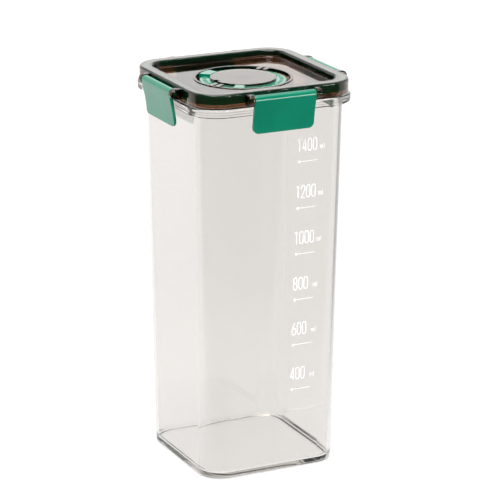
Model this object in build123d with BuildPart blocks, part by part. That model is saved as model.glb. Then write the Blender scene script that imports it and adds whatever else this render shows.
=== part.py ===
from build123d import *

import os

os.makedirs("parts", exist_ok=True)

# The canister stands on Z = 0, centred on the Z axis, with its measuring scale towards -Y.
# All sizes are in millimetres, and a half is half a width across two flat sides.

# Driving sizes
canister_height = 240.0
lid_half = 51.1
lid_corner = 17.8
running_gap = 0.3
pin_gap = 0.05
overrun = 2.0

# Every rounded square near the top has its corners round the same four centres
corner_centre = lid_half - lid_corner

# Lid shell: a skirt outside the canister's neck and a plug inside it
skirt_wall = 1.8
lid_roof = 1.0
lid_edge_radius = 1.2
plug_gap = 0.5
plug_wall = 1.5
plug_edge_radius = 0.8

# Seal in the channel between skirt and plug
gasket_play = 0.1
gasket_height = 3.0
flap_thickness = 1.0
flap_drop = 2.2

# Canister body
wall = 2.0
base_draw = 4.1
base_corner = 14.3
floor_thickness = 2.4
base_edge_radius = 1.0
inner_edge_radius = 3.0
neck_height = 4.4
flange_height = 5.2
flange_overhang = 4.4
flange_edge_radius = 0.9
flange_groove_height = 1.4
flange_groove_depth = 0.9
foot_height = 0.6
foot_width = 1.2
foot_inset = 4.2
foot_break_half = 17.0

# Shallow recess in the lid's top and the flat panel that closes it
recess_depth = 4.4
recess_draw = 0.9
recess_corner = 12.0
recess_rim_radius = 1.4
recess_floor_radius = 0.6
panel_thickness = 2.0
plug_depth = 9.0

# Round dial well in the middle of the panel, with a low lip round it
well_share = 0.6424
well_depth = 3.1
well_lip_height = 0.5
well_lip_width = 1.5
well_lip_radius = 0.2
well_wall = 2.0

# Snap socket for the pointer disc, closed at its lower end
hub_radius = 7.5
socket_radius = 4.0
socket_wall = 2.0
socket_depth = 4.6
socket_floor = 1.5
snap_groove_height = 1.4
snap_groove_depth = 0.6
snap_groove_rise = 0.8

# Four lugs, in two pairs, that hold the date ring down
lug_width = 2.6
lug_reach = 5.7
lug_embed = 0.8
lug_spacing_degrees = 10.0
lug_pair_degrees = (36.5, 206.5)

# Date ring, with two raised grips
ring_thickness = 1.4
ring_share = 0.9184
grip_gap = 0.4
grip_margin = 0.6
grip_sink = 0.1
grip_edge_radius = 0.3
grip_places_degrees = ((124.5, 12.0), (239.0, 7.4))

# Pointer disc
disc_share = 0.7057
disc_proud = 0.1
disc_edge_radius = 0.5
notch_degrees = 188.0
notch_width = 3.6
notch_depth = 2.0
snap_bead_height = 0.8
snap_bead_depth = 0.35

# Latches, one on each side, that turn on stub axles in pairs of ears on the lid
latch_width = 39.6
hinge_drop = 4.0
hinge_stand_off = 3.7
roll_radius = 2.7
latch_drop = 20.0
latch_thickness = 2.3
lip_thickness = 1.5
lip_flat = 0.15
latch_corner = 4.0
latch_edge_radius = 0.4
stub_radius = 1.5
stub_length = 2.3
ear_radius = 3.1
ear_thickness = 3.4
ear_root_depth = 1.0
ear_root_rise = 0.6
ear_edge_radius = 1.0
hook_width = 34.0
hook_drop = 0.6
hook_height = 1.0
hook_slope = 1.4

# The latch's outer line in shares of the roll's radius outwards and of the latch's drop downwards
latch_line_shares = ((0.90, 0.08), (0.54, 0.30), (0.22, 0.50), (-0.11, 0.775), (-0.22, 1.0))

# The plate's thickness at the line's middle points, in shares of the latch's thickness
latch_taper_shares = (0.9, 0.78, 0.78)

# Heights, from the lid's top downwards
roof_low = canister_height - lid_roof
gasket_low = roof_low - gasket_height
flap_low = gasket_low - flap_drop
mouth_height = gasket_low - running_gap
flange_top = mouth_height - neck_height
flange_low = flange_top - flange_height
skirt_low = flange_top + running_gap
panel_top = canister_height - recess_depth
panel_low = panel_top - panel_thickness
plug_low = canister_height - plug_depth
well_lip_top = panel_top + well_lip_height
well_floor_top = well_lip_top - well_depth
well_floor_low = well_floor_top - panel_thickness
ring_low = well_floor_top + running_gap
ring_top = ring_low + ring_thickness
disc_low = ring_top + running_gap
disc_top = well_lip_top + disc_proud
hinge_height = canister_height - hinge_drop
hook_top = flange_low - hook_drop

# Half widths, from the lid's skirt inwards
channel_half = lid_half - skirt_wall
gasket_half = channel_half - gasket_play
flap_half = gasket_half - flap_thickness
mouth_half = flap_half - running_gap
mouth_inner_half = mouth_half - wall
plug_half = mouth_inner_half - plug_gap
gasket_inner_half = plug_half + gasket_play
recess_half = plug_half - plug_wall
base_half = mouth_half - base_draw
foot_half = base_half - foot_inset
foot_corner = base_corner - foot_inset
flange_half = mouth_half + flange_overhang
hinge_half = lid_half + hinge_stand_off
ear_inner = latch_width / 2 + running_gap

# Radii of the dial, from the recess inwards
well_radius = recess_half * well_share
ring_radius = well_radius * ring_share
disc_radius = well_radius * disc_share

# The four sides, each with the direction in which it faces
side_degrees = {"front": -90.0, "right": 0.0, "back": 90.0, "left": 180.0}


def rounded_square(half, corner, mode=Mode.ADD):
    """A square with round corners, centred on the Z axis."""
    RectangleRounded(2 * half, 2 * half, corner, mode=mode)


def square_round_centres(half, mode=Mode.ADD):
    """A rounded square whose corners turn round the centres that the upper pieces share."""
    rounded_square(half, half - corner_centre, mode)


def side_plane(side):
    """A plane across the side named, with X outwards and Y up, through the middle of the side."""
    outwards = Vector(1, 0, 0).rotate(Axis.Z, side_degrees[side])
    return Plane(origin=(0, 0, 0), x_dir=outwards, z_dir=outwards.cross(Vector(0, 0, 1)))


def finish(piece, name):
    """Labels a finished piece and writes it under its name."""
    piece.part.label = name
    export_step(piece.part, f"parts/{name}.step")


# Flange round the canister's neck, with a groove between two beads
with BuildPart() as flange:
    with BuildSketch(Plane.XY.offset(flange_low)):
        square_round_centres(flange_half)
    extrude(amount=flange_height)
    flange_rims = flange.edges().filter_by(Plane.XY)
    fillet(flange_rims, flange_edge_radius)
    with BuildSketch(Plane.XY.offset(flange_low + (flange_height - flange_groove_height) / 2)):
        square_round_centres(flange_half + overrun)
        square_round_centres(flange_half - flange_groove_depth, Mode.SUBTRACT)
    extrude(amount=flange_groove_height, mode=Mode.SUBTRACT)

# Body: a drafted square jar with a floor, a neck and four corner feet
with BuildPart() as canister_body:
    with BuildSketch(Plane.XY.offset(foot_height)):
        rounded_square(base_half, base_corner)
    with BuildSketch(Plane.XY.offset(mouth_height)):
        square_round_centres(mouth_half)
    loft(ruled=True)
    fillet(canister_body.faces().sort_by(Axis.Z)[0].edges(), base_edge_radius)
    add(flange.part)
    with BuildSketch(Plane.XY.offset(foot_height + floor_thickness)):
        rounded_square(base_half - wall, base_corner - wall)
    with BuildSketch(Plane.XY.offset(mouth_height)):
        square_round_centres(mouth_inner_half)
    loft(ruled=True, mode=Mode.SUBTRACT)
    inner_floor = canister_body.faces(Select.LAST).sort_by(Axis.Z)[0]
    fillet(inner_floor.edges(), inner_edge_radius)
    with BuildSketch():
        rounded_square(foot_half + foot_width / 2, foot_corner + foot_width / 2)
        rounded_square(foot_half - foot_width / 2, foot_corner - foot_width / 2, Mode.SUBTRACT)
        Rectangle(2 * foot_break_half, 2 * base_half, mode=Mode.SUBTRACT)
        Rectangle(2 * base_half, 2 * foot_break_half, mode=Mode.SUBTRACT)
    extrude(amount=foot_height)
finish(canister_body, "canister_body")

# Ears at the ends of one latch, with blind bores for its stub axles
ear_plane = side_plane("front")
ear_root_low = skirt_low + ear_root_rise
with BuildPart() as ear_pair:
    with BuildSketch(ear_plane.offset(ear_inner)):
        with Locations((hinge_half, hinge_height)):
            Circle(ear_radius)
        with Locations((lid_half - ear_root_depth, ear_root_low)):
            Rectangle(
                ear_root_depth,
                hinge_height + ear_radius - ear_root_low,
                align=(Align.MIN, Align.MIN),
            )
        make_hull()
    extrude(amount=ear_thickness)
    ear_end = ear_pair.faces().sort_by(Axis((0, 0, 0), ear_plane.z_dir))[-1]
    ear_end_edges = ear_end.edges().sort_by(Axis((0, 0, 0), ear_plane.x_dir))
    fillet(ear_end_edges[-3:], ear_edge_radius)
    with BuildSketch(ear_plane.offset(ear_inner)):
        with Locations((hinge_half, hinge_height)):
            Circle(stub_radius + pin_gap)
    extrude(amount=stub_length, mode=Mode.SUBTRACT)
    mirror(about=Plane.YZ)

# Lid: skirt, plug, recess and dial well in one moulding
with BuildPart() as lid:
    with BuildSketch(Plane.XY.offset(skirt_low)):
        rounded_square(lid_half, lid_corner)
    extrude(amount=canister_height - skirt_low)
    fillet(lid.faces().sort_by(Axis.Z)[-1].edges(), lid_edge_radius)
    with BuildSketch(Plane.XY.offset(skirt_low - overrun)):
        square_round_centres(channel_half)
    extrude(amount=overrun + roof_low - skirt_low, mode=Mode.SUBTRACT)
    with BuildSketch(Plane.XY.offset(plug_low)):
        square_round_centres(plug_half)
    extrude(amount=roof_low - plug_low)
    plug_rim = lid.faces().filter_by(Plane.XY).sort_by(Axis.Z)[0]
    fillet(plug_rim.edges(), plug_edge_radius)
    with BuildSketch(Plane.XY.offset(plug_low)):
        square_round_centres(plug_half - plug_wall)
    extrude(amount=panel_low - plug_low, mode=Mode.SUBTRACT)
    with BuildSketch(Plane.XY.offset(panel_top)):
        rounded_square(recess_half - recess_draw, recess_corner - recess_draw)
    with BuildSketch(Plane.XY.offset(canister_height)):
        rounded_square(recess_half, recess_corner)
    loft(ruled=True, mode=Mode.SUBTRACT)
    recess_floor = lid.faces(Select.LAST).sort_by(Axis.Z)[0]
    fillet(recess_floor.edges(), recess_floor_radius)
    lid_rim = lid.faces().filter_by(Plane.XY).sort_by(Axis.Z)[-1]
    fillet(lid_rim.inner_wires()[0].edges(), recess_rim_radius)

    # Dial well through the panel, with a closed floor and a low lip
    with BuildSketch(Plane.XY.offset(well_floor_low)):
        Circle(well_radius + well_wall)
    extrude(amount=panel_top - well_floor_low)
    with BuildSketch(Plane.XY.offset(panel_top)):
        Circle(well_radius + well_lip_width)
    extrude(amount=well_lip_height)
    with BuildSketch(Plane.XY.offset(well_floor_top)):
        Circle(well_radius)
    extrude(amount=well_depth, mode=Mode.SUBTRACT)
    lip_rims = lid.edges().filter_by(GeomType.CIRCLE).group_by(Axis.Z)
    fillet([e for g in lip_rims for e in g if abs(e.center().Z - well_lip_top) < pin_gap], well_lip_radius)

    # Hub that the date ring turns round, with the snap socket through it
    socket_low = well_floor_top - socket_depth
    with BuildSketch(Plane.XY.offset(well_floor_low)):
        Circle(hub_radius)
    extrude(amount=ring_top - well_floor_low)
    with BuildSketch(Plane.XY.offset(socket_low - socket_floor)):
        Circle(socket_radius + socket_wall)
    extrude(amount=well_floor_low + socket_floor - socket_low)
    with BuildSketch(Plane.XY.offset(socket_low)):
        Circle(socket_radius)
    extrude(amount=ring_top - socket_low, mode=Mode.SUBTRACT)
    with BuildSketch(Plane.XY.offset(socket_low + snap_groove_rise)):
        Circle(socket_radius + snap_groove_depth)
    extrude(amount=snap_groove_height, mode=Mode.SUBTRACT)

    # Lugs over the date ring's edge
    lug_length = lug_reach + lug_embed
    lug_middle = well_radius + lug_embed - lug_length / 2
    for pair in lug_pair_degrees:
        for step in (-1, 1):
            turn = pair + step * lug_spacing_degrees / 2
            with BuildSketch(Plane.XY.offset(ring_top + running_gap).rotated((0, 0, turn))):
                with Locations((lug_middle, 0)):
                    RectangleRounded(lug_length, lug_width, lug_embed)
            extrude(amount=well_lip_top - ring_top - running_gap)

    # A pair of ears on every side
    with PolarLocations(0, len(side_degrees)):
        add(ear_pair.part)
finish(lid, "lid")

# Seal: a square ring with a flap that hangs outside the canister's mouth
with BuildPart() as lid_gasket:
    with BuildSketch(Plane.XY.offset(gasket_low)):
        square_round_centres(gasket_half)
        square_round_centres(gasket_inner_half, Mode.SUBTRACT)
    extrude(amount=gasket_height)
    with BuildSketch(Plane.XY.offset(flap_low)):
        square_round_centres(gasket_half)
        square_round_centres(flap_half, Mode.SUBTRACT)
    extrude(amount=flap_drop)
finish(lid_gasket, "lid_gasket")

# Date ring: a flat ring round the hub, with two raised grips
with BuildPart() as date_ring:
    with BuildSketch(Plane.XY.offset(ring_low)):
        Circle(ring_radius)
        Circle(hub_radius + running_gap, mode=Mode.SUBTRACT)
    extrude(amount=ring_thickness)
    fillet(date_ring.faces().sort_by(Axis.Z)[-1].outer_wire().edges(), grip_edge_radius)
    grip_inner = disc_radius + grip_gap
    grip_outer = well_radius - grip_margin
    for middle, half_turn in grip_places_degrees:
        with BuildSketch(Plane.XY.offset(ring_low)):
            with BuildLine():
                near = CenterArc((0, 0), grip_inner, middle - half_turn, 2 * half_turn)
                far = CenterArc((0, 0), grip_outer, middle - half_turn, 2 * half_turn)
                Line(near @ 0, far @ 0)
                Line(near @ 1, far @ 1)
            make_face()
        extrude(amount=well_lip_top - grip_sink - ring_low)
        fillet(date_ring.faces(Select.LAST).sort_by(Axis.Z)[-1].edges(), grip_edge_radius)
finish(date_ring, "date_ring")

# Pointer disc: a flat disc with a notch in its rim and a stem that snaps into the hub
with BuildPart() as dial_disc:
    with BuildSketch(Plane.XY.offset(disc_low)):
        Circle(disc_radius)
        with Locations(Location((0, 0, 0), (0, 0, notch_degrees))):
            with Locations((disc_radius, 0)):
                RectangleRounded(2 * notch_depth, notch_width, notch_depth / 3, mode=Mode.SUBTRACT)
    extrude(amount=disc_top - disc_low)
    fillet(dial_disc.faces().sort_by(Axis.Z)[-1].edges(), disc_edge_radius)
    stem_low = socket_low + running_gap
    with BuildSketch(Plane.XY.offset(stem_low)):
        Circle(socket_radius - pin_gap)
    extrude(amount=disc_low - stem_low)
    with BuildSketch(Plane.XY.offset(socket_low + snap_groove_rise + running_gap)):
        Circle(socket_radius + snap_bead_depth)
    extrude(amount=snap_bead_height)
finish(dial_disc, "dial_disc")

# Latches: a roll with stub axles, a curved plate and a hook that snaps under the flange
lip_height = hinge_height - latch_drop
hook_tip = flange_half + running_gap
outer_line = [
    (hinge_half + roll_radius * out, hinge_height - latch_drop * down)
    for out, down in latch_line_shares
]
inner_line = [
    (out - latch_thickness * share, up)
    for (out, up), share in zip(reversed(outer_line[1:-1]), reversed(latch_taper_shares))
]
lip_half = outer_line[-1][0]
plate_middle = hinge_half - latch_thickness / 2
tongue_low = lip_height - lip_thickness / 2 + lip_flat
tongue_height = hinge_height + roll_radius + overrun - tongue_low
for side in side_degrees:
    across = side_plane(side)
    facing = Plane(origin=(0, 0, 0), x_dir=-across.z_dir, z_dir=across.x_dir)
    with BuildPart() as latch:
        with BuildSketch(across.offset(-latch_width / 2)):
            with BuildLine():
                outside = Spline(
                    [(hinge_half + roll_radius, hinge_height)] + outer_line,
                    tangents=((0, -1), (0, -1)),
                )
                lip = ThreePointArc(
                    outside @ 1,
                    (lip_half - lip_thickness / 2, lip_height - lip_thickness / 2),
                    (lip_half - lip_thickness, lip_height),
                )
                inside = Spline([lip @ 1] + inner_line + [(hinge_half, hinge_height - roll_radius)])
                ThreePointArc(inside @ 1, (hinge_half - roll_radius, hinge_height), outside @ 0)
            make_face()
        extrude(amount=latch_width)
        fillet(latch.faces().filter_by(across).edges(), latch_edge_radius)
        with BuildSketch(facing) as tongue:
            with Locations((0, tongue_low + tongue_height / 2)):
                Rectangle(latch_width, tongue_height)
            fillet(tongue.vertices().group_by(Axis.Y)[0], latch_corner)
        extrude(amount=hinge_half + roll_radius + overrun, mode=Mode.INTERSECT)
        with BuildSketch(across):
            with BuildLine():
                Polyline(
                    (hook_tip, hook_top),
                    (hook_tip, hook_top - hook_height),
                    (plate_middle, hook_top - hook_height - hook_slope),
                    (plate_middle, hook_top),
                    close=True,
                )
            make_face()
        extrude(amount=hook_width / 2, both=True)
        with BuildSketch(across):
            with Locations((hinge_half, hinge_height)):
                Circle(stub_radius)
        extrude(amount=latch_width / 2 + stub_length, both=True)
    finish(latch, f"latch_{side}")
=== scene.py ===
# %% [markdown]
# # A clear food canister with snap latches and a date dial
# The solids come from a CAD model that is already packed, and this lesson dresses them: it sets up the
# camera and the light, makes the plastics, and adds the pieces that CAD is too plain for. Blender works in
# metres, so every size below is written in millimetres and multiplied by MM.

# %% Load the solids
import math

import bmesh
import bpy
from mathutils import Matrix, Quaternion, Vector


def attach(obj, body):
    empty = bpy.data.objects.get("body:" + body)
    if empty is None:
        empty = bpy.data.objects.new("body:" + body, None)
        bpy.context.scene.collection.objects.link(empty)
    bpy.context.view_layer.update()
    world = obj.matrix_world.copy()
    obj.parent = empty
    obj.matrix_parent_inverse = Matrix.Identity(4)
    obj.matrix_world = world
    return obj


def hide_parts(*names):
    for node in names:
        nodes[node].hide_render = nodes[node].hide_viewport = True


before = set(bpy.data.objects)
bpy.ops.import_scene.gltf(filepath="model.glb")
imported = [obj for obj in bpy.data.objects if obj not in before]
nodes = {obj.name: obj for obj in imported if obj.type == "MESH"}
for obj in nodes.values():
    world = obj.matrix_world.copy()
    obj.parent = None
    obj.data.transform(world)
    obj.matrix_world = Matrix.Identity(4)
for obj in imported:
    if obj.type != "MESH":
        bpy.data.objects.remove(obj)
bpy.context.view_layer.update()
MM = 0.001
print("solids:", sorted(nodes))

# %% [markdown]
# ## The colours that are written are the colours that show
# The Standard view keeps a colour as it is written, which suits a catalogue picture on white. Clear plastic
# needs many refractions in a row, two for every wall, and light runs through a floor or a rim by one inner
# reflection after another, so the limits on both are raised.

# %% Colour and light paths
LIGHT_BOUNCES = 32
scene = bpy.context.scene
scene.view_settings.view_transform = "Standard"
scene.cycles.max_bounces = LIGHT_BOUNCES
scene.cycles.transmission_bounces = LIGHT_BOUNCES
scene.cycles.glossy_bounces = LIGHT_BOUNCES
scene.cycles.transparent_max_bounces = LIGHT_BOUNCES


def linear(hex_colour):
    """Turns an sRGB hex colour into the linear values that Blender works with."""
    shares = [int(hex_colour[place : place + 2], 16) / 255 for place in (1, 3, 5)]
    return [s / 12.92 if s <= 0.04045 else ((s + 0.055) / 1.055) ** 2.4 for s in shares] + [1.0]


WHITE = linear("#FFFFFF")
print("white is", WHITE)

# %% [markdown]
# ## The camera
# The picture was taken with a long lens from a little above, with the corner between the left side and the
# front turned towards it. The camera looks at a point near the middle of the canister and leans over by a
# fraction of a degree.

# %% Camera
CAMERA_AZIMUTH = -26.08
CAMERA_ELEVATION = 17.15
CAMERA_DISTANCE = 1635.8 * MM
CAMERA_LEAN = 0.148
CAMERA_LENS = 193.85
CAMERA_AIM = Vector((4.880, 0, 127.521)) * MM
azimuth, elevation = math.radians(CAMERA_AZIMUTH), math.radians(CAMERA_ELEVATION)
back = Vector(
    (
        math.sin(azimuth) * math.cos(elevation),
        -math.cos(azimuth) * math.cos(elevation),
        math.sin(elevation),
    )
)
camera = bpy.data.objects.new("camera", bpy.data.cameras.new("camera"))
scene.collection.objects.link(camera)
camera.data.lens = CAMERA_LENS
camera.location = CAMERA_AIM + back * CAMERA_DISTANCE
camera.rotation_mode = "QUATERNION"
lean = Quaternion((0, 0, 1), math.radians(CAMERA_LEAN))
camera.rotation_quaternion = (-back).to_track_quat("-Z", "Y") @ lean
scene.camera = camera
print("camera at", [round(v, 3) for v in camera.location])

# %% [markdown]
# ## One small helper for materials
# Every material is built from nodes. The helper adds one node, sets its sockets and settings, and links
# other nodes' outputs to its inputs, so that a material reads as a short list.


# %% Node helper
def add_node(tree, kind, values=None, links=None, **settings):
    """Adds a node of a kind, with values and links for its inputs by name, and its own settings."""
    node = tree.nodes.new(kind)
    for name, value in settings.items():
        setattr(node, name, value)
    for name, value in (values or {}).items():
        node.inputs[name].default_value = value
    for name, output in (links or {}).items():
        tree.links.new(output, node.inputs[name])
    return node


def new_tree(owner):
    """An empty node tree for a material or the world."""
    owner.use_nodes = True
    owner.node_tree.nodes.clear()
    return owner.node_tree


print("helpers ready")

# %% [markdown]
# ## A white studio
# The object stands on a white sweep in an even white world, and two broad lamps from above and from the
# upper left give the shapes some direction. A reflection, on a surface or inside clear plastic, shows
# something else: bright paper behind the object and a dim room in front of it and to its right, which draws
# the grey lines along the edges. First comes that room, as two ramps over the direction of a ray: one from
# the front to the backdrop, one towards the right.

# %% The dim room
BACKDROP_DIRECTION = (0.4455, 0.8953, 0.0)
ASIDE_DIRECTION = (0.8953, -0.4455, 0.0)
ROOM_BY_DEPTH = {"From Min": -0.25, "From Max": 0.25, "To Min": 0.05, "To Max": 1.0}
ROOM_BY_SIDE = {"From Min": 0.25, "From Max": 0.75, "To Min": 1.0, "To Max": 0.45}
world = bpy.data.worlds.new("white_studio")
scene.world = world
tree = new_tree(world)
heading = add_node(tree, "ShaderNodeTexCoord")
towards = add_node(
    tree,
    "ShaderNodeVectorMath",
    {1: BACKDROP_DIRECTION},
    {0: heading.outputs["Generated"]},
    operation="DOT_PRODUCT",
)
room = add_node(tree, "ShaderNodeMapRange", ROOM_BY_DEPTH, {"Value": towards.outputs["Value"]})
aside = add_node(
    tree,
    "ShaderNodeVectorMath",
    {1: ASIDE_DIRECTION},
    {0: heading.outputs["Generated"]},
    operation="DOT_PRODUCT",
)
flank = add_node(tree, "ShaderNodeMapRange", ROOM_BY_SIDE, {"Value": aside.outputs["Value"]})
dimmed = add_node(
    tree, "ShaderNodeMath", links={0: flank.outputs[0], 1: room.outputs[0]}, operation="MULTIPLY"
)
print("the room is", ROOM_BY_DEPTH["To Min"], "as bright as the backdrop")

# %% [markdown]
# ### Who sees the room
# What is seen straight through the plastics stays white: such a ray has been reflected nowhere, so its
# Glossy Depth is 0. So does the light that they let through to a matt surface, which has a diffuse bounce
# behind it. Only a ray that was reflected on its way through plastic finds the dim room.

# %% World
WORLD_LIGHT = 0.7
FIRST_REFLECTION = 0.5
paths = add_node(tree, "ShaderNodeLightPath")
straight = add_node(
    tree,
    "ShaderNodeMath",
    links={0: paths.outputs["Is Camera Ray"], 1: paths.outputs["Is Transmission Ray"]},
    operation="MAXIMUM",
)
unreflected = add_node(
    tree,
    "ShaderNodeMath",
    {1: FIRST_REFLECTION},
    {0: paths.outputs["Glossy Depth"]},
    operation="LESS_THAN",
)
whole = add_node(
    tree,
    "ShaderNodeMath",
    links={0: unreflected.outputs[0], 1: paths.outputs["Diffuse Depth"]},
    operation="MAXIMUM",
    use_clamp=True,
)
through = add_node(
    tree, "ShaderNodeMath", links={0: whole.outputs[0], 1: dimmed.outputs[0]}, operation="MAXIMUM"
)
lit = add_node(tree, "ShaderNodeBackground", {"Color": WHITE, "Strength": WORLD_LIGHT})
mirrored = add_node(tree, "ShaderNodeBackground", {"Color": WHITE}, {"Strength": room.outputs[0]})
shown = add_node(tree, "ShaderNodeBackground", {"Color": WHITE}, {"Strength": through.outputs[0]})
light = add_node(
    tree,
    "ShaderNodeMixShader",
    links={0: paths.outputs["Is Glossy Ray"], 1: lit.outputs[0], 2: mirrored.outputs[0]},
)
both = add_node(
    tree,
    "ShaderNodeMixShader",
    links={0: straight.outputs[0], 1: light.outputs[0], 2: shown.outputs[0]},
)
add_node(tree, "ShaderNodeOutputWorld", links={"Surface": both.outputs[0]})
print("world ready,", len(tree.nodes), "nodes")

# %% [markdown]
# ### Lamps
# Two broad lamps light the object. A panel behind it lays a pale sheen on the lid's top, and a low strip in
# front, which only reflections show, draws the fine bright line along the latch's roll.


# %% Lamps
def softbox(name, place, target, size, watts, **seen_by):
    """A rectangular lamp at a place, aimed at a target, all in millimetres."""
    lamp = bpy.data.lights.new(name, "AREA")
    lamp.shape = "RECTANGLE"
    lamp.size, lamp.size_y = size[0] * MM, size[1] * MM
    lamp.energy = watts
    holder = bpy.data.objects.new(name, lamp)
    scene.collection.objects.link(holder)
    holder.location = Vector(place) * MM
    holder.rotation_mode = "QUATERNION"
    holder.rotation_quaternion = (Vector(target) - Vector(place)).to_track_quat("-Z", "Y")
    holder.visible_camera = False
    for ray, visible in seen_by.items():
        setattr(holder, ray, visible)


MIDDLE, LID_TOP, FRONT_ROLL = (0, 0, 120), (0, 0, 240), (0, -55, 236)
softbox("key_light", (-900, -1100, 1700), MIDDLE, (1200, 1200), 14)
softbox("top_light", (-150, -350, 1750), MIDDLE, (1500, 1500), 30)
softbox("back_panel", (900, 1800, 700), LID_TOP, (2600, 900), 4.7, visible_transmission=False)
unseen = {"visible_diffuse": False, "visible_transmission": False}
softbox("front_strip", (520, -1080, 180), FRONT_ROLL, (700, 110), 3, **unseen)

# %% [markdown]
# ### The paper
# The floor has to be white to the camera and still take the canister's soft shadow, so it is part matt
# paper and part glow. Seen through clear plastic it glows more, and far away it only glows, so that it has
# no horizon.


# %% Floor
def mesh_piece(name, shape):
    """Turns a finished bmesh into an object at the origin."""
    mesh = bpy.data.meshes.new(name)
    shape.to_mesh(mesh)
    shape.free()
    piece = bpy.data.objects.new(name, mesh)
    scene.collection.objects.link(piece)
    return piece


FLOOR_HALF = 6000
shape = bmesh.new()
bmesh.ops.create_grid(shape, x_segments=1, y_segments=1, size=FLOOR_HALF * MM)
floor = mesh_piece("floor", shape)
print("floor", FLOOR_HALF * 2, "mm wide")

# %% What a polished surface mirrors of the paper
PAPER_NEAR = {"From Min": -170 * MM, "From Max": -60 * MM, "To Min": 0.05, "To Max": 0.95}
PAPER_FAR = {"From Min": 150 * MM, "From Max": 600 * MM, "To Min": 0.0, "To Max": 0.45}
paper = bpy.data.materials.new("white_paper_sweep")
tree = new_tree(paper)
place = add_node(tree, "ShaderNodeTexCoord")
along = add_node(
    tree,
    "ShaderNodeVectorMath",
    {1: BACKDROP_DIRECTION},
    {0: place.outputs["Object"]},
    operation="DOT_PRODUCT",
)
near = add_node(tree, "ShaderNodeMapRange", PAPER_NEAR, {"Value": along.outputs["Value"]})
far = add_node(tree, "ShaderNodeMapRange", PAPER_FAR, {"Value": along.outputs["Value"]})
sheen = add_node(tree, "ShaderNodeMath", links={0: near.outputs[0], 1: far.outputs[0]}, operation="ADD")
mirrored = add_node(tree, "ShaderNodeEmission", {"Color": WHITE}, {"Strength": sheen.outputs[0]})
print("mirrored paper is dim nearer than", PAPER_NEAR["From Min"], "m")

# %% How strongly the paper glows
PAPER_WHITE = 1.03
PAPER_BY_SIDE = {"From Min": 60 * MM, "From Max": 300 * MM, "To Min": PAPER_WHITE, "To Max": 0.35}
PAPER_BY_DEPTH = {"From Min": -250 * MM, "From Max": -80 * MM, "To Min": 0.1, "To Max": 1.0}
paths = add_node(tree, "ShaderNodeLightPath")
aside = add_node(
    tree,
    "ShaderNodeVectorMath",
    {1: ASIDE_DIRECTION},
    {0: place.outputs["Object"]},
    operation="DOT_PRODUCT",
)
flank = add_node(tree, "ShaderNodeMapRange", PAPER_BY_SIDE, {"Value": aside.outputs["Value"]})
front = add_node(tree, "ShaderNodeMapRange", PAPER_BY_DEPTH, {"Value": along.outputs["Value"]})
dimmed = add_node(
    tree, "ShaderNodeMath", links={0: flank.outputs[0], 1: front.outputs[0]}, operation="MULTIPLY"
)
unreflected = add_node(
    tree,
    "ShaderNodeMath",
    {1: FIRST_REFLECTION},
    {0: paths.outputs["Glossy Depth"]},
    operation="LESS_THAN",
)
bright = add_node(
    tree, "ShaderNodeMath", {1: PAPER_WHITE}, {0: unreflected.outputs[0]}, operation="MULTIPLY"
)
strength = add_node(
    tree, "ShaderNodeMath", links={0: bright.outputs[0], 1: dimmed.outputs[0]}, operation="MAXIMUM"
)
glow = add_node(tree, "ShaderNodeEmission", {"Color": WHITE}, {"Strength": strength.outputs[0]})
print("paper glows at", PAPER_WHITE)

# %% Paper
GLOW_SHARE = {"To Min": 0.45, "To Max": 0.9}
HORIZON = {"From Min": 1200 * MM, "From Max": 2000 * MM}
lift = add_node(
    tree, "ShaderNodeMapRange", GLOW_SHARE, {"Value": paths.outputs["Is Transmission Ray"]}
)
distance = add_node(
    tree, "ShaderNodeVectorMath", links={0: place.outputs["Object"]}, operation="LENGTH"
)
away = add_node(tree, "ShaderNodeMapRange", HORIZON, {"Value": distance.outputs["Value"]})
shine = add_node(
    tree, "ShaderNodeMath", links={0: lift.outputs[0], 1: away.outputs[0]}, operation="MAXIMUM"
)
matt = add_node(tree, "ShaderNodeBsdfDiffuse", {"Color": WHITE})
sheet = add_node(
    tree,
    "ShaderNodeMixShader",
    links={0: shine.outputs[0], 1: matt.outputs[0], 2: glow.outputs[0]},
)
reflected = add_node(
    tree,
    "ShaderNodeMath",
    links={0: paths.outputs["Is Glossy Ray"], 1: paths.outputs["Is Transmission Ray"]},
    operation="SUBTRACT",
    use_clamp=True,
)
either = add_node(
    tree,
    "ShaderNodeMixShader",
    links={0: reflected.outputs[0], 1: sheet.outputs[0], 2: mirrored.outputs[0]},
)
add_node(tree, "ShaderNodeOutputMaterial", links={"Surface": either.outputs[0]})
floor.data.materials.append(paper)
print("made", paper.name)

# %% [markdown]
# ## Clear SAN
# The jar is injection-moulded styrene-acrylonitrile (SAN), a hard clear plastic with a mirror-smooth
# surface and a high refractive index. It looks almost colourless face on, but light that runs along a wall
# or the floor comes out grey-brown, which draws the line round the base. So most of the colour belongs in
# the volume, as an absorption for each metre, and the surface has only a trace of it. The melt leaves slow
# waves in a moulded wall, far wider than they are deep.

# %% Clear plastic
FLOW_WIDTH = 55.56
clear = bpy.data.materials.new("clear_moulded_san")
tree = new_tree(clear)
place = add_node(tree, "ShaderNodeTexCoord")
flow = add_node(
    tree,
    "ShaderNodeTexNoise",
    {"Scale": 1 / (FLOW_WIDTH * MM), "Detail": 1.0, "Roughness": 0.4},
    {"Vector": place.outputs["Object"]},
)
ripple = add_node(
    tree,
    "ShaderNodeBump",
    {"Strength": 0.03, "Distance": 0.4 * MM},
    {"Height": flow.outputs[0]},
)
glass = add_node(
    tree,
    "ShaderNodeBsdfPrincipled",
    {
        "Base Color": linear("#F4F2F0"),
        "Roughness": 0.02,
        "IOR": 1.57,
        "Transmission Weight": 1.0,
    },
    {"Normal": ripple.outputs[0]},
)
depth = add_node(
    tree,
    "ShaderNodeVolumeAbsorption",
    {"Color": (0.35, 0.31, 0.22, 1.0), "Density": 9.0},
)
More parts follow.
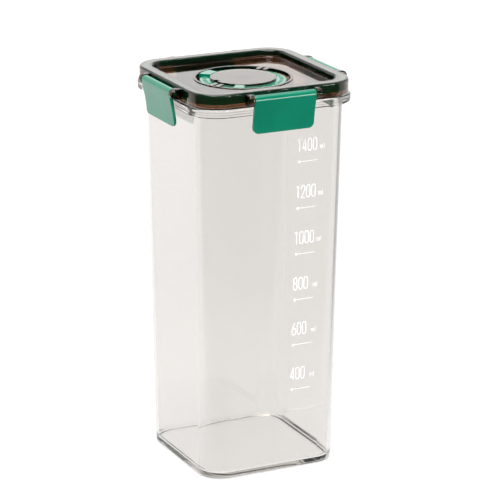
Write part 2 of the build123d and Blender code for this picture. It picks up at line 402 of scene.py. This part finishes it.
add_node(
    tree,
    "ShaderNodeOutputMaterial",
    links={"Surface": glass.outputs[0], "Volume": depth.outputs[0]},
)
print("made", clear.name)

# %% [markdown]
# ## Smoked SAN
# The lid and the dial's disc are the same plastic with a brown-black dye. A thin lug glows amber, a wall is
# coffee brown and an edge is black, so the dye is an absorption too, many times stronger than the jar's.

# %% Smoked plastic
smoke = bpy.data.materials.new("smoked_moulded_san")
tree = new_tree(smoke)
gloss = add_node(
    tree,
    "ShaderNodeBsdfPrincipled",
    {"Base Color": WHITE, "Roughness": 0.03, "IOR": 1.57, "Transmission Weight": 1.0},
)
dye = add_node(
    tree,
    "ShaderNodeVolumeAbsorption",
    {"Color": (0.62, 0.44, 0.28, 1.0), "Density": 1200.0},
)
add_node(
    tree,
    "ShaderNodeOutputMaterial",
    links={"Surface": gloss.outputs[0], "Volume": dye.outputs[0]},
)
print("made", smoke.name)

# %% [markdown]
# ## Green ABS and green silicone
# The latches and the date ring are moulded in a dense green ABS with a soft gloss. Its colour clouds a
# little where the melt flowed, and its surface carries the very fine unevenness of a moulded part, which
# softens the edges of what it reflects. The real grain is finer than a tenth of a millimetre, and it is
# drawn ten times as coarse so that it shows. The seal is silicone rubber of the same green: softer and
# matt, with a faint bloom on it.

# %% Green plastic
CLOUD_WIDTH, GRAIN_WIDTH = 16.667, 1.1111
green = bpy.data.materials.new("green_moulded_abs")
tree = new_tree(green)
place = add_node(tree, "ShaderNodeTexCoord")
tone = add_node(
    tree,
    "ShaderNodeTexNoise",
    {"Scale": 1 / (CLOUD_WIDTH * MM), "Detail": 3.0, "Roughness": 0.55},
    {"Vector": place.outputs["Object"]},
)
shade = add_node(tree, "ShaderNodeValToRGB", links={0: tone.outputs[0]})
shade.color_ramp.elements[0].position, shade.color_ramp.elements[1].position = 0.35, 0.65
shade.color_ramp.elements[0].color = linear("#007257")
shade.color_ramp.elements[1].color = linear("#00785C")
rough = add_node(
    tree,
    "ShaderNodeMapRange",
    {"To Min": 0.1, "To Max": 0.15},
    {"Value": tone.outputs[0]},
)
grain = add_node(
    tree,
    "ShaderNodeTexNoise",
    {"Scale": 1 / (GRAIN_WIDTH * MM), "Detail": 2.0},
    {"Vector": place.outputs["Object"]},
)
skin = add_node(
    tree,
    "ShaderNodeBump",
    {"Strength": 0.15, "Distance": 0.05 * MM},
    {"Height": grain.outputs[0]},
)
body = add_node(
    tree,
    "ShaderNodeBsdfPrincipled",
    {"IOR": 1.54, "Specular IOR Level": 0.75},
    {
        "Base Color": shade.outputs[0],
        "Roughness": rough.outputs[0],
        "Normal": skin.outputs[0],
    },
)
add_node(tree, "ShaderNodeOutputMaterial", links={"Surface": body.outputs[0]})
print("made", green.name)

# %% Silicone
BLOOM_WIDTH = 7.143
silicone = bpy.data.materials.new("green_silicone_rubber")
tree = new_tree(silicone)
place = add_node(tree, "ShaderNodeTexCoord")
bloom = add_node(
    tree,
    "ShaderNodeTexNoise",
    {"Scale": 1 / (BLOOM_WIDTH * MM), "Detail": 3.0},
    {"Vector": place.outputs["Object"]},
)
dust = add_node(
    tree,
    "ShaderNodeMapRange",
    {"To Min": 0.45, "To Max": 0.6},
    {"Value": bloom.outputs[0]},
)
rubber = add_node(
    tree,
    "ShaderNodeBsdfPrincipled",
    {"Base Color": linear("#00A482"), "IOR": 1.41},
    {"Roughness": dust.outputs[0]},
)
add_node(tree, "ShaderNodeOutputMaterial", links={"Surface": rubber.outputs[0]})
print("made", silicone.name)

# %% [markdown]
# ## Printing ink
# The measuring scale is white pad-printing ink, a thin matt film. The pad leaves it a little uneven, which
# is too fine to show, so it is drawn at the width of a stroke.

# %% Ink
SPECKLE_WIDTH = 0.8333
ink = bpy.data.materials.new("white_printing_ink")
tree = new_tree(ink)
place = add_node(tree, "ShaderNodeTexCoord")
speckle = add_node(
    tree,
    "ShaderNodeTexNoise",
    {"Scale": 1 / (SPECKLE_WIDTH * MM), "Detail": 2.0},
    {"Vector": place.outputs["Object"]},
)
film = add_node(
    tree,
    "ShaderNodeMapRange",
    {"To Min": 0.5, "To Max": 0.7},
    {"Value": speckle.outputs[0]},
)
paint = add_node(
    tree,
    "ShaderNodeBsdfPrincipled",
    {"Base Color": linear("#FCFCFA"), "IOR": 1.45},
    {"Roughness": film.outputs[0]},
)
add_node(tree, "ShaderNodeOutputMaterial", links={"Surface": paint.outputs[0]})
print("made", ink.name)

# %% Dress the solids
finishes = {
    "canister_body": clear,
    "lid": smoke,
    "dial_disc": smoke,
    "lid_gasket": silicone,
    "date_ring": green,
    "latch_front": green,
    "latch_right": green,
    "latch_back": green,
    "latch_left": green,
}
for name, finish in finishes.items():
    print(name, "slots", len(nodes[name].material_slots), "faces", len(nodes[name].data.polygons))
    for place in nodes[name].material_slots:
        place.material = finish

# %% [markdown]
# ## The seal
# The seal is a square ring of silicone that lies in the lid's channel and hangs down outside the jar's
# mouth. Its section is drawn once, in the middle of one side, and drawn out to the corner, swung round the
# corner and on to the next side. Two mirrors then make the whole ring. It sits a hair below the channel's
# roof, so that no two faces share a place, and two shallow grooves run round its outer side.


# %% A ring that follows a square with round corners
CORNER_CENTRE = 33.3
CORNER_STEPS = 16
SAME_PLACE = 0.01


def square_ring(section):
    """Sweeps a closed section, in half widths and heights, round a square with round corners."""
    ring = bmesh.new()
    points = [ring.verts.new(Vector((half, 0, height)) * MM) for half, height in section]
    edges = [ring.edges.new((a, b)) for a, b in zip(points, points[1:] + points[:1])]
    drawn = bmesh.ops.extrude_edge_only(ring, edges=edges)["geom"]
    moved = [g for g in drawn if isinstance(g, bmesh.types.BMVert)]
    bmesh.ops.translate(ring, verts=moved, vec=Vector((0, CORNER_CENTRE, 0)) * MM)
    swung = bmesh.ops.spin(
        ring,
        geom=[g for g in drawn if not isinstance(g, bmesh.types.BMFace)],
        cent=Vector((CORNER_CENTRE, CORNER_CENTRE, 0)) * MM,
        axis=(0, 0, 1),
        angle=math.pi / 2,
        steps=CORNER_STEPS,
        use_merge=False,
    )["geom_last"]
    ends = [g for g in swung if isinstance(g, bmesh.types.BMEdge)]
    drawn = bmesh.ops.extrude_edge_only(ring, edges=ends)["geom"]
    moved = [g for g in drawn if isinstance(g, bmesh.types.BMVert)]
    bmesh.ops.translate(ring, verts=moved, vec=Vector((-CORNER_CENTRE, 0, 0)) * MM)
    for axis in "XY":
        bmesh.ops.mirror(ring, geom=ring.verts[:] + ring.edges[:] + ring.faces[:], axis=axis)
    bmesh.ops.remove_doubles(ring, verts=ring.verts, dist=SAME_PLACE * MM)
    bmesh.ops.recalc_face_normals(ring, faces=ring.faces)
    return ring


print("helper ready")

# %% Seal
SEAL_EDGE = 0.12
seal_section = [
    (45.5, 238.85),
    (49.2, 238.85),
    (49.2, 237.7),
    (48.9, 237.4),
    (48.9, 237.1),
    (49.2, 236.8),
    (49.2, 235.4),
    (48.9, 235.2),
    (48.9, 235.0),
    (49.2, 234.8),
    (49.2, 233.8),
    (48.2, 233.8),
    (48.2, 236.0),
    (45.5, 236.0),
]
seal = mesh_piece("seal_ring", square_ring(seal_section))
edge = seal.modifiers.new("soft_edges", "BEVEL")
edge.width, edge.segments, edge.limit_method = SEAL_EDGE * MM, 2, "ANGLE"
seal.data.materials.append(silicone)
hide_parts("lid_gasket")
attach(seal, "lid")
print("seal faces", len(seal.data.polygons))

# %% [markdown]
# ## The measuring scale
# White figures and ticks are printed on the front of the jar. Each figure is built from a few strokes, as
# a narrow signwriter's figure is, and a stroke is a curve with a round section. A figure is drawn in a box
# one wide and two high, a letter in a box one wide and one high, and each stroke says whether it closes.
# The finished figures are pressed flat, which leaves a film of ink, and laid on the sloping front.

# %% Strokes of the figures
FIGURES = {
    "0": [
        (
            ((0, 0.5), (0, 1.5), (0.1, 1.9), (0.5, 2), (0.9, 1.9))
            + ((1, 1.5), (1, 0.5), (0.9, 0.1), (0.5, 0), (0.1, 0.1)),
            True,
        )
    ],
    "1": [(((0.15, 1.7), (0.6, 2), (0.6, 2), (0.6, 0)), False)],
    "2": [
        (
            ((0, 1.45), (0.05, 1.9), (0.5, 2), (0.95, 1.9), (1, 1.45))
            + ((0.9, 1.1), (0, 0), (0, 0), (1, 0)),
            False,
        )
    ],
    "3": [
        (((0, 1.6), (0.1, 1.95), (0.5, 2), (0.9, 1.95), (0.95, 1.55), (0.85, 1.1), (0.4, 1.05)), False),
        (((0.4, 1.05), (0.9, 1.0), (1, 0.5), (0.9, 0.05), (0.5, 0), (0.1, 0.05), (0, 0.4)), False),
    ],
    "4": [(((0.75, 0), (0.75, 2), (0.75, 2), (0, 0.5), (0, 0.5), (1, 0.5)), False)],
    "5": [
        (((0.9, 2), (0.1, 2), (0.1, 2), (0.05, 1.1)), False),
        (
            ((0.05, 1.1), (0.5, 1.25), (0.9, 1.1), (1, 0.6))
            + ((0.9, 0.05), (0.5, 0), (0.1, 0.05), (0, 0.35)),
            False,
        ),
    ],
    "6": [
        (((0.75, 2), (0.05, 1.1), (0, 0.6), (0, 0.35), (0.1, 0.05), (0.5, 0)), False),
        (((0.5, 0), (0.9, 0.05), (1, 0.4), (1, 0.7), (0.9, 1.05), (0.5, 1.1), (0.15, 1.0)), False),
    ],
    "7": [(((0, 2), (1, 2), (1, 2), (0.35, 0)), False)],
    "8": [
        (
            ((0.5, 1.05), (0.1, 1.1), (0.05, 1.5), (0.12, 1.92))
            + ((0.5, 2), (0.88, 1.92), (0.95, 1.5), (0.9, 1.1)),
            True,
        ),
        (
            ((0.5, 1.05), (0.08, 1.0), (0, 0.5), (0.08, 0.06))
            + ((0.5, 0), (0.92, 0.06), (1, 0.5), (0.92, 1.0)),
            True,
        ),
    ],
    "9": [
        (((0.25, 0), (0.95, 0.9), (1, 1.4), (1, 1.65), (0.9, 1.95), (0.5, 2)), False),
        (((0.5, 2), (0.1, 1.95), (0, 1.6), (0, 1.3), (0.1, 0.95), (0.5, 0.9), (0.85, 1.0)), False),
    ],
    "m": [
        (((0, 0), (0, 1)), False),
        (((0, 0.7), (0.25, 1), (0.5, 0.9), (0.5, 0)), False),
        (((0.5, 0.7), (0.75, 1), (1, 0.9), (1, 0)), False),
    ],
    "l": [(((0.2, 0), (0.2, 1.35)), False)],
}


def word(text, left, bottom, size, step):
    """The strokes of a word in X and Z, with its lower left corner at a place, in millimetres."""
    return [
        ([(left + step * place + size[0] * x, bottom + size[1] * z) for x, z in points], closed)
        for place, letter in enumerate(text)
        for points, closed in FIGURES[letter]
    ]


print("figures:", "".join(FIGURES))


# %% Strokes into a mesh
def strokes_to_mesh(name, strokes, thickness):
    """Turns lines in X and Z, in millimetres, into round strokes joined in one mesh."""
    curve = bpy.data.curves.new(name, "CURVE")
    curve.dimensions = "3D"
    curve.bevel_depth = thickness / 2 * MM
    curve.bevel_resolution = 2
    curve.use_fill_caps = True
    for points, closed in strokes:
        spline = curve.splines.new("NURBS" if len(points) > 2 else "POLY")
        spline.points.add(len(points) - 1)
        for point, (x, z) in zip(spline.points, points):
            point.co = (x * MM, 0, z * MM, 1)
        if len(points) > 2:
            spline.use_cyclic_u = closed
            spline.use_endpoint_u = not closed
            spline.order_u = 3
            spline.resolution_u = 5
    drawn = bpy.data.objects.new(name, curve)
    mesh = bpy.data.meshes.new_from_object(drawn)
    bpy.data.objects.remove(drawn)
    shape = bmesh.new()
    shape.from_mesh(mesh)
    bpy.data.meshes.remove(mesh)
    return shape


def join(whole, part):
    """Moves everything in one bmesh into another."""
    mesh = bpy.data.meshes.new("part")
    part.to_mesh(mesh)
    part.free()
    whole.from_mesh(mesh)
    bpy.data.meshes.remove(mesh)


print("helpers ready")

# %% The scale's lines
FIRST_TICK, NEXT_TICK, TICK_LENGTH = (11.3, 51.1), (0.52, 28.5), 12.0
FIGURE_SIZE, FIGURE_STEP, FIGURE_RISE = (2.4, 3.8), 3.45, 6.2
UNIT_SIZE, UNIT_STEP, UNIT_RISE = (1.75, 2.3), 2.3, 6.6
# where a number of three or four figures and its unit start, from the start of the tick
NUMBER_START, UNIT_START = {3: -1.0, 4: -1.4}, {3: 12.0, 4: 13.6}
bold, fine, dots = [], [], []
for count, volume in enumerate(range(400, 1401, 200)):
    number = str(volume)
    tick_x, tick_z = (start + step * count for start, step in zip(FIRST_TICK, NEXT_TICK))
    number_x, unit_x = (tick_x + start[len(number)] for start in (NUMBER_START, UNIT_START))
    bold += word(number, number_x, tick_z + FIGURE_RISE, FIGURE_SIZE, FIGURE_STEP)
    fine += word("ml", unit_x, tick_z + UNIT_RISE, UNIT_SIZE, UNIT_STEP)
    fine.append((((tick_x, tick_z), (tick_x + TICK_LENGTH, tick_z)), False))
    dots.append((tick_x, 0, tick_z))
print("strokes:", len(bold), "bold,", len(fine), "fine,", len(dots), "dots")

# %% Scale on the jar's front
BOLD_STROKE, FINE_STROKE, INK_THICKNESS = 0.62, 0.36, 0.05
DOT_RADIUS = 0.85
WALL_BASE, WALL_TOP = (43.8, 0.6), (47.9, 235.7)
ink_shape = strokes_to_mesh("scale", bold, BOLD_STROKE)
for dot in dots:
    bmesh.ops.create_uvsphere(
        ink_shape,
        u_segments=16,
        v_segments=8,
        radius=DOT_RADIUS * MM,
        matrix=Matrix.Translation(Vector(dot) * MM),
    )
join(ink_shape, strokes_to_mesh("ticks", fine, FINE_STROKE))
bmesh.ops.scale(ink_shape, verts=ink_shape.verts, vec=(1, INK_THICKNESS / BOLD_STROKE, 1))
slope = math.atan2(WALL_TOP[0] - WALL_BASE[0], WALL_TOP[1] - WALL_BASE[1])
lay = (
    Matrix.Translation(Vector((0, -WALL_BASE[0], WALL_BASE[1])) * MM)
    @ Matrix.Rotation(slope, 4, "X")
    @ Matrix.Translation(Vector((0, 0, -WALL_BASE[1])) * MM)
)
bmesh.ops.transform(ink_shape, matrix=lay, verts=ink_shape.verts)
scale_print = mesh_piece("measuring_scale", ink_shape)
scale_print.data.materials.append(ink)
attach(scale_print, "canister")
print("scale faces", len(scale_print.data.polygons))

# %% [markdown]
# ## The days on the date ring
# The date ring carries the days of a month in low relief, in the ring's own green, in the two runs that its
# grips leave free. The same strokes serve, laid flat and turned round the dial, with every top outwards.

# %% Days
DAY_RADIUS, DAY_SIZE, DAY_GAP, DAY_TURN = 21.9, (0.95, 1.1), 0.45, 10.0
RING_TOP, DAY_RELIEF, DAY_STROKE = 234.7, 0.15, 0.36
# the first day of each run, the day after its last, and the angle at which it starts
DAY_RUNS = ((1, 23, 108.0), (23, 32, 224.0))
digit_step = DAY_SIZE[0] + DAY_GAP
days = bmesh.new()
for first, after, start in DAY_RUNS:
    for day in range(first, after):
        digits = str(day)
        width = digit_step * len(digits) - DAY_GAP
        strokes = word(digits, -width / 2, 0, DAY_SIZE, digit_step)
        shape = strokes_to_mesh("day", strokes, DAY_STROKE)
        turn = math.radians(start - DAY_TURN * (day - first) - 90)
        lay = (
            Matrix.Rotation(turn, 4, "Z")
            @ Matrix.Translation(Vector((0, DAY_RADIUS, RING_TOP)) * MM)
            @ Matrix.Diagonal((1, 1, 2 * DAY_RELIEF / DAY_STROKE, 1))
            @ Matrix.Rotation(-math.pi / 2, 4, "X")
        )
        bmesh.ops.transform(shape, matrix=lay, verts=shape.verts)
        join(days, shape)
bmesh.ops.recalc_face_normals(days, faces=days.faces)
day_relief = mesh_piece("day_relief", days)
day_relief.data.materials.append(green)
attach(day_relief, "date_ring")
print("day faces", len(day_relief.data.polygons))
